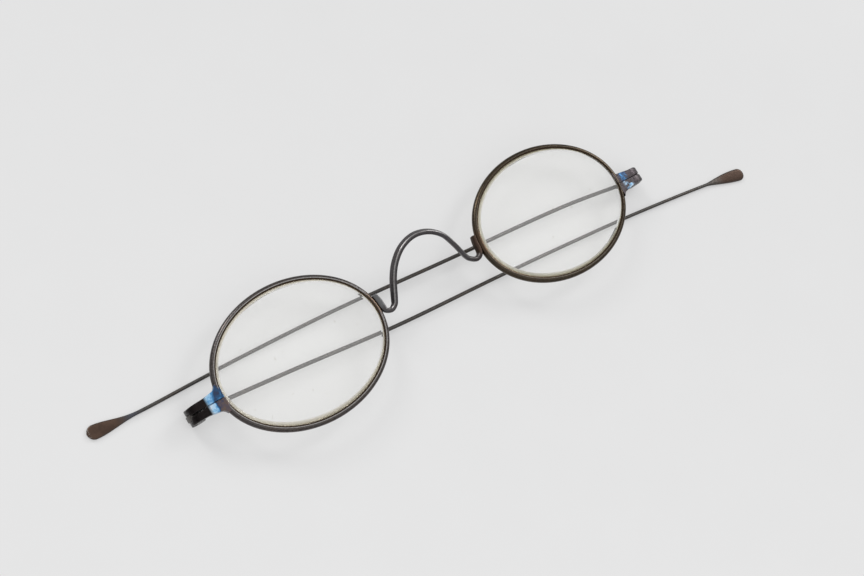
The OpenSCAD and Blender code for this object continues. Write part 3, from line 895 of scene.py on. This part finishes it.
def tongue_rings(around=180):
    """The outline with rounded edges, down one flat side, out and back through the eye."""
    a = turns(around)
    h, c = TONGUE / 2, 0.08
    inset = np.array([c, c * 0.3, 0, 0, c * 0.3, c])
    y = np.array([-h, -h + c * 0.3, -h + c, h - c, h - c * 0.3, h, h, -h])
    outline = tongue_reach(a)[:, None] - inset[None, :]
    radius = np.concatenate([outline, np.full((around, 2), SCREW_R + LOOSE)], 1)
    x, z = radius * np.cos(a)[:, None], radius * np.sin(a)[:, None]
    points = np.stack([x, np.broadcast_to(y[None, :], x.shape), z], -1)
    return points, np.array([0.5, 1, 0.4, 0.4, 1, 0.5, 0.1, 0.1])


print(f"tongue: heel {HEEL_R:.2f} mm from the screw, {TONGUE} mm thick")

# %% [markdown]
# The wires were bent a little by use, each in its own way, so a curve goes through places
# taken from the real ones. The wire thins slightly on its way back. In the paddle its width
# grows and its thickness shrinks, and the tip is a half circle in outline.

# %% Wires and paddles of the temples
# Length from screw to tip, bends as (share of the wire's length, y), y from neck to tip, and
# a power that sets how early the paddle flares.
TEMPLES = {
    -1: (139.6, [[0.16, -1.55], [0.35, -4.05], [0.55, -5.65], [0.70, -7.1], [0.84, -8.65],
                 [1, -11.1]], -1.95, 0.72),
    1: (130.5, [[0.17, 2.0], [0.40, 4.1], [0.63, 6.15], [0.85, 7.2], [1, 7.5]], 0.85, 1.15),
}
WIRE_D, WIRE_END = 0.85, 0.7  # diameter of the wire at its hinge, and before the paddle
PADDLE_LEN, PADDLE_W, PADDLE_T = 10.5, 2.85, 0.62  # paddle: length, width, thickness
LOW = 0.4 - PIN_Z  # height of the far end of a wire, from the screw
CONE = 2.6  # length of the cone between tongue and wire


def temple_curve(length, bends, tip_rise):
    """Smooth line through the cone, the bends and the tip, and the distance run along it."""
    wire_len = math.sqrt(length**2 - (bends[-1][1] + tip_rise) ** 2) - PADDLE_LEN
    slope, reach = math.atan2(tip_rise, PADDLE_LEN), PADDLE_LEN - 0.1
    tip = [wire_len + reach * math.cos(slope), bends[-1][1] + reach * math.sin(slope), LOW]
    places = [[x, 0, LOW * x / wire_len] for x in (1.7, 4.3)]
    places += [[share * wire_len, y, share * LOW] for share, y in bends]
    curve = through(np.array([*places, tip]), 40)
    steps = np.linalg.norm(np.diff(curve, axis=0), axis=1)
    return curve, np.concatenate([[0], np.cumsum(steps)])


def temple_line(length, bends, tip_rise, flare_power):
    """Distance, neck, centre, thickness, width and boxiness along a temple, ring by ring."""
    curve, run = temple_curve(length, bends, tip_rise)
    total, neck, nose = run[-1], run[-1] - PADDLE_LEN, PADDLE_W / 2
    s = np.concatenate([
        np.linspace(0, 3.2, 14, endpoint=False), np.linspace(3.2, neck, 90, endpoint=False),
        np.linspace(neck, total - nose, 44, endpoint=False),
        total - nose + nose * np.sin(np.linspace(0, math.pi / 2, 20))])
    centre = np.stack([np.interp(s, run, curve[:, k]) for k in range(3)], -1)
    t = np.clip((s - neck) / (PADDLE_LEN - nose), 0, 1)
    into = np.clip((s - total + nose) / nose, 0, 1)
    flare = smooth_step(0, 1, t**flare_power)
    cone = 1 - smooth_step(0, CONE, s)
    wire = WIRE_D + (WIRE_END - WIRE_D) * np.clip(s / neck, 0, 1)
    wide = wire + cone * (TONGUE - 0.06 - WIRE_D) + (PADDLE_W - WIRE_END) * flare
    wide = wide * np.sqrt(np.maximum(1 - into**2, 0.0004))
    thick = wire + cone * (ARM_H - 0.02 - WIRE_D) + (PADDLE_T - WIRE_END) * smooth_step(0, 0.6, t)
    thick = thick * np.sqrt(np.clip(1 - np.clip(into - 0.55, 0, 1) ** 2 * 3.6, 0.05, 1))
    # Past the neck the paddle comes down until it lies on the table.
    paddle = s > neck
    floor = thick / 2 - PIN_Z
    lift = (LOW - floor[np.argmax(paddle)]) * (1 - smooth_step(0, 0.4, t))
    centre[:, 2] = np.where(paddle, floor + lift, centre[:, 2])
    return s, neck, centre, thick, wide, 2 + 2.2 * cone + smooth_step(0, 0.5, t)


def temple_shells(side):
    """A temple's two closed surfaces, turned to the side that it folds from."""
    s, neck, centre, thick, wide, power = temple_line(*TEMPLES[side])
    rings = swept(centre, wide, thick, np.zeros(len(s)), np.array([0, 0, 1.0]), power)
    tongue, tongue_rubbed = tongue_rings()
    left = float(side > 0)
    grown = smooth_step(neck, neck + 3, s)[:, None]
    narrow_side = np.abs(np.cos(turns(WIRE_SIDES)))[None, :] ** 6 * grown
    tip = smooth_step(s[-1] - 0.7, s[-1], s)[:, None]
    paddle = smooth_step(neck + 0.8, neck + 5.5, s)[:, None]
    marks = {
        "edge": np.maximum(narrow_side, tip) * 0.9 + 0.08,
        "paddle": paddle * (1 - 0.8 * narrow_side),
        "warm": paddle * (1 - narrow_side) * left,
        "cool": 0.8 * bell(s, neck + 1.6, 1.5)[:, None] * left,
        "tip": 0.8 * tip * left,
    }
    turned, hinge = [-side, 1, 1], [side * PIN_X, -DROP[side], PIN_Z]
    return [
        shell(rings * turned + hinge, marks=marks),
        shell(tongue * turned + hinge, wrap_u=True, marks={"edge": tongue_rubbed[None, :]}),
    ]


for side in (-1, 1):
    make_piece(f"{SIDE[side]}_side_arm", temple_shells(side), f"{SIDE[side]}_temple",
               [temple_steel], 45, [f"{SIDE[side]}_temple"])

# %% [markdown]
# The table. A pale, plain sheet with a very faint grain, and a painted fall of light that makes it
# slightly brighter towards -X and -Y.
# It isn't part of the object. Half of its brightness, as the camera sees it, is its own,
# which keeps the shadows as faint as in the photograph without more light on the steel.
# It is clear from below, so that the back of the object and the open temples, which point
# down through it, can be seen.

# %% Table
TABLE = rgb(229, 229, 229)
TABLE_HALF = 3.0  # metres from the middle to each side
GLOW = 0.5  # share of the brightness that is its own
LIGHTER_TO = (-0.60, -0.80, 0.0)  # direction in which it gets brighter
corners = TABLE_HALF * np.array([(-1, -1, 0), (1, -1, 0), (1, 1, 0), (-1, 1, 0)])
table_mesh = bpy.data.meshes.new("table_top")
table_mesh.from_pydata(corners.tolist(), [], [(0, 1, 2, 3)])
table_top = put_in_scene("table_top", table_mesh)
table_top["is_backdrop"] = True

paper, tree, surface = new_material("pale_paper")
surface.inputs["Roughness"].default_value = 0.9
surface.inputs["Specular IOR Level"].default_value = 0.0
grain = ramp(tree, noise(tree, 60, 4.0, 0.6), [(0.3, (0.99, 0.99, 0.99, 1)), (0.7, (1, 1, 1, 1))])
place = add(tree, "ShaderNodeVectorMath", operation="DOT_PRODUCT")
place.inputs[1].default_value = LIGHTER_TO
tree.links.new(add(tree, "ShaderNodeTexCoord").outputs["Object"], place.inputs[0])
# A painted fall of light: the colour grows brighter towards LIGHTER_TO.
painted_light_fall = add(tree, "ShaderNodeMapRange", in_From_Min=-0.06, in_From_Max=0.06, in_To_Min=0.962,
           in_To_Max=1.022)
tree.links.new(place.outputs["Value"], painted_light_fall.inputs["Value"])
tone = blend_colour(tree, 1.0, TABLE, grain, "MULTIPLY")
tone = blend_colour(tree, 1.0, tone, painted_light_fall.outputs["Result"], "MULTIPLY")
own = add(tree, "ShaderNodeEmission")
tree.links.new(tone, surface.inputs["Base Color"])
tree.links.new(tone, own.inputs["Color"])
rays = add(tree, "ShaderNodeLightPath").outputs
looked_at = maths(tree, "MAXIMUM", rays["Is Glossy Ray"], rays["Is Transmission Ray"])
looked_at = maths(tree, "MAXIMUM", rays["Is Camera Ray"], looked_at)
share = maths(tree, "MULTIPLY", looked_at, GLOW)
top_side = mix_shaders(tree, share, surface.outputs[0], own.outputs[0])
below = add(tree, "ShaderNodeNewGeometry").outputs["Backfacing"]
clear = add(tree, "ShaderNodeBsdfTransparent").outputs[0]
table_look = mix_shaders(tree, below, top_side, clear)
tree.links.new(table_look, tree.nodes["Material Output"].inputs["Surface"])
table_mesh.materials.append(paper)
print("table:", 2 * TABLE_HALF, "m wide")

# %% [markdown]
# Light. Two soft square lamps stand to the viewer's right and beyond the brow side, in an
# even grey surround, as in a photographer's light tent. The shadows stay faint and broad, and
# the dark wires get long light lines. A single sun would give hard black shadows. The camera sees
# the surround in the table's colour, so no horizon shows.

# %% Lamps and surround


def lamp(name, spot, size, power):
    """A square lamp at a spot, in metres, that faces the object."""
    data = bpy.data.lights.new(name, "AREA")
    data.size, data.energy = size, power
    made = put_in_scene(name, data)
    made.location = spot
    x, y, z = -np.array(spot)
    made.rotation_euler = (math.atan2(math.hypot(x, y), -z), 0, math.atan2(y, x) - math.pi / 2)
    print(f"{name}: {power} W, {math.hypot(x, y, z):.2f} m away")


lamp("lamp_right", (0.74, 0.16, 0.44), 0.28, 2.4)
lamp("lamp_left", (-0.14, 0.76, 0.44), 0.28, 2.1)
world = bpy.data.worlds.new("surround")
bpy.context.scene.world = world
world.use_nodes = True
tree = world.node_tree
direction = add(tree, "ShaderNodeSeparateXYZ")
tree.links.new(add(tree, "ShaderNodeTexCoord").outputs["Generated"], direction.inputs["Vector"])
dome = ramp(tree, direction.outputs["Z"], [
    (0.0, (0.18, 0.18, 0.185, 1)), (0.25, (0.32, 0.32, 0.33, 1)),
    (0.55, (0.74, 0.74, 0.745, 1)), (1.0, (0.90, 0.90, 0.90, 1))])
seen = add(tree, "ShaderNodeLightPath").outputs["Is Camera Ray"]
sky = tree.nodes["Background"]
tree.links.new(blend_colour(tree, seen, dome, TABLE), sky.inputs["Color"])
sky.inputs["Strength"].default_value = 1.0
bpy.context.scene.view_settings.view_transform = "Standard"

# %% [markdown]
# Camera. It was found by fitting both rims, the bridge and the temples to the photograph: 273
# mm above the table, to the left of the object and towards its lower side, with a long lens.
# Its axes are kept as the fit gave them, instead of being rebuilt from rounded angles.

# %% Camera
camera_data = bpy.data.cameras.new("camera")
camera_data.sensor_width, camera_data.lens = 36.0, 62.5
camera_data.clip_start, camera_data.clip_end = 0.01, 10
camera = put_in_scene("camera", camera_data)
right = np.array([0.78132, -0.53013, 0.3294])
down = np.array([-0.44156, -0.8425, -0.30857])
ahead = np.array([0.4411, 0.09564, -0.89235])
pose = np.eye(4)
pose[:3, 0], pose[:3, 1], pose[:3, 2] = right, -down, -ahead
pose[:3, 3] = np.array([-134.015, -30.463, 269.013 + FRONT_Z]) * MM
camera.matrix_world = Matrix(pose.tolist())
bpy.context.scene.camera = camera
print(f"camera: {pose[2, 3]:.3f} m up, {camera_data.lens} mm lens")

# %% [markdown]
# Last, the size of the visual model is printed beside that of the solids.

# %% Print the sizes
bpy.context.view_layer.update()
new_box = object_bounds()
for label, box in (("solids", cad_box), ("scene", new_box)):
    print(f"{label}:", [[round(c / MM, 2) for c in corner] for corner in box])
